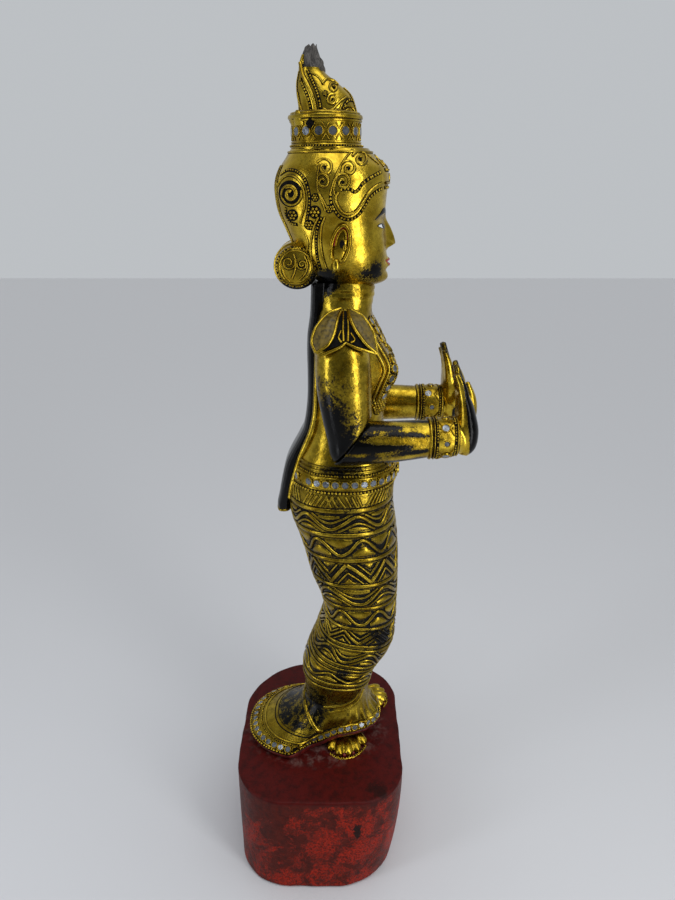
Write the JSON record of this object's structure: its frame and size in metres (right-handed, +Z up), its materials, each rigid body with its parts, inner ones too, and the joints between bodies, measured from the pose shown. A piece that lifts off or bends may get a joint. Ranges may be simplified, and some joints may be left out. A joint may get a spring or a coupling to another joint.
{
  "type": "nat statue",
  "caption": "Standing carved and gilded wooden nat figure with raised palms, flame crown, banded skirt and trailing hem, on a red-lacquered block plinth.",
  "frame": {"origin": "on the plinth's underside, below the figure's upright axis", "axes": "+Z up, the figure faces -Y, its right side is at -X"},
  "size_m": [0.186, 0.202, 0.6983],
  "materials": {
    "gilding": "carved wood, black lacquer under worn gold leaf",
    "red_lacquer": "red lacquer, rubbed and patchy",
    "mirror_glass": "small round mirror pieces, slightly clouded"
  },
  "bodies": {
    "root": {"belt_glass_01": "mirror_glass", "belt_glass_02": "mirror_glass", "belt_glass_03": "mirror_glass", "belt_glass_04": "mirror_glass", "belt_glass_05": "mirror_glass", "belt_glass_06": "mirror_glass", "belt_glass_07": "mirror_glass", "belt_glass_08": "mirror_glass", "belt_glass_09": "mirror_glass", "belt_glass_10": "mirror_glass", "belt_glass_11": "mirror_glass", "belt_glass_12": "mirror_glass", "belt_glass_13": "mirror_glass", "belt_glass_14": "mirror_glass", "belt_glass_15": "mirror_glass", "belt_glass_16": "mirror_glass", "belt_glass_17": "mirror_glass", "belt_glass_19": "mirror_glass", "belt_glass_20": "mirror_glass", "belt_glass_21": "mirror_glass", "belt_glass_22": "mirror_glass", "belt_glass_23": "mirror_glass", "belt_glass_24": "mirror_glass", "belt_glass_25": "mirror_glass", "belt_glass_26": "mirror_glass", "belt_glass_27": "mirror_glass", "belt_glass_28": "mirror_glass", "belt_glass_29": "mirror_glass", "belt_glass_30": "mirror_glass", "belt_glass_31": "mirror_glass", "belt_glass_32": "mirror_glass", "crown_glass_01": "mirror_glass", "crown_glass_02": "mirror_glass", "crown_glass_03": "mirror_glass", "crown_glass_04": "mirror_glass", "crown_glass_05": "mirror_glass", "crown_glass_06": "mirror_glass", "crown_glass_07": "mirror_glass", "crown_glass_08": "mirror_glass", "crown_glass_09": "mirror_glass", "crown_glass_10": "mirror_glass", "crown_glass_11": "mirror_glass", "crown_glass_12": "mirror_glass", "crown_glass_13": "mirror_glass", "crown_glass_14": "mirror_glass", "crown_glass_15": "mirror_glass", "crown_glass_16": "mirror_glass", "cuff_left_glass_01": "mirror_glass", "cuff_left_glass_02": "mirror_glass", "cuff_left_glass_03": "mirror_glass", "cuff_left_glass_04": "mirror_glass", "cuff_right_glass_01": "mirror_glass", "cuff_right_glass_02": "mirror_glass", "cuff_right_glass_03": "mirror_glass", "cuff_right_glass_04": "mirror_glass", "figure": "gilding", "forearm_left": "gilding", "forearm_right": "gilding", "plinth": "red_lacquer"}
  },
  "joints": []
}
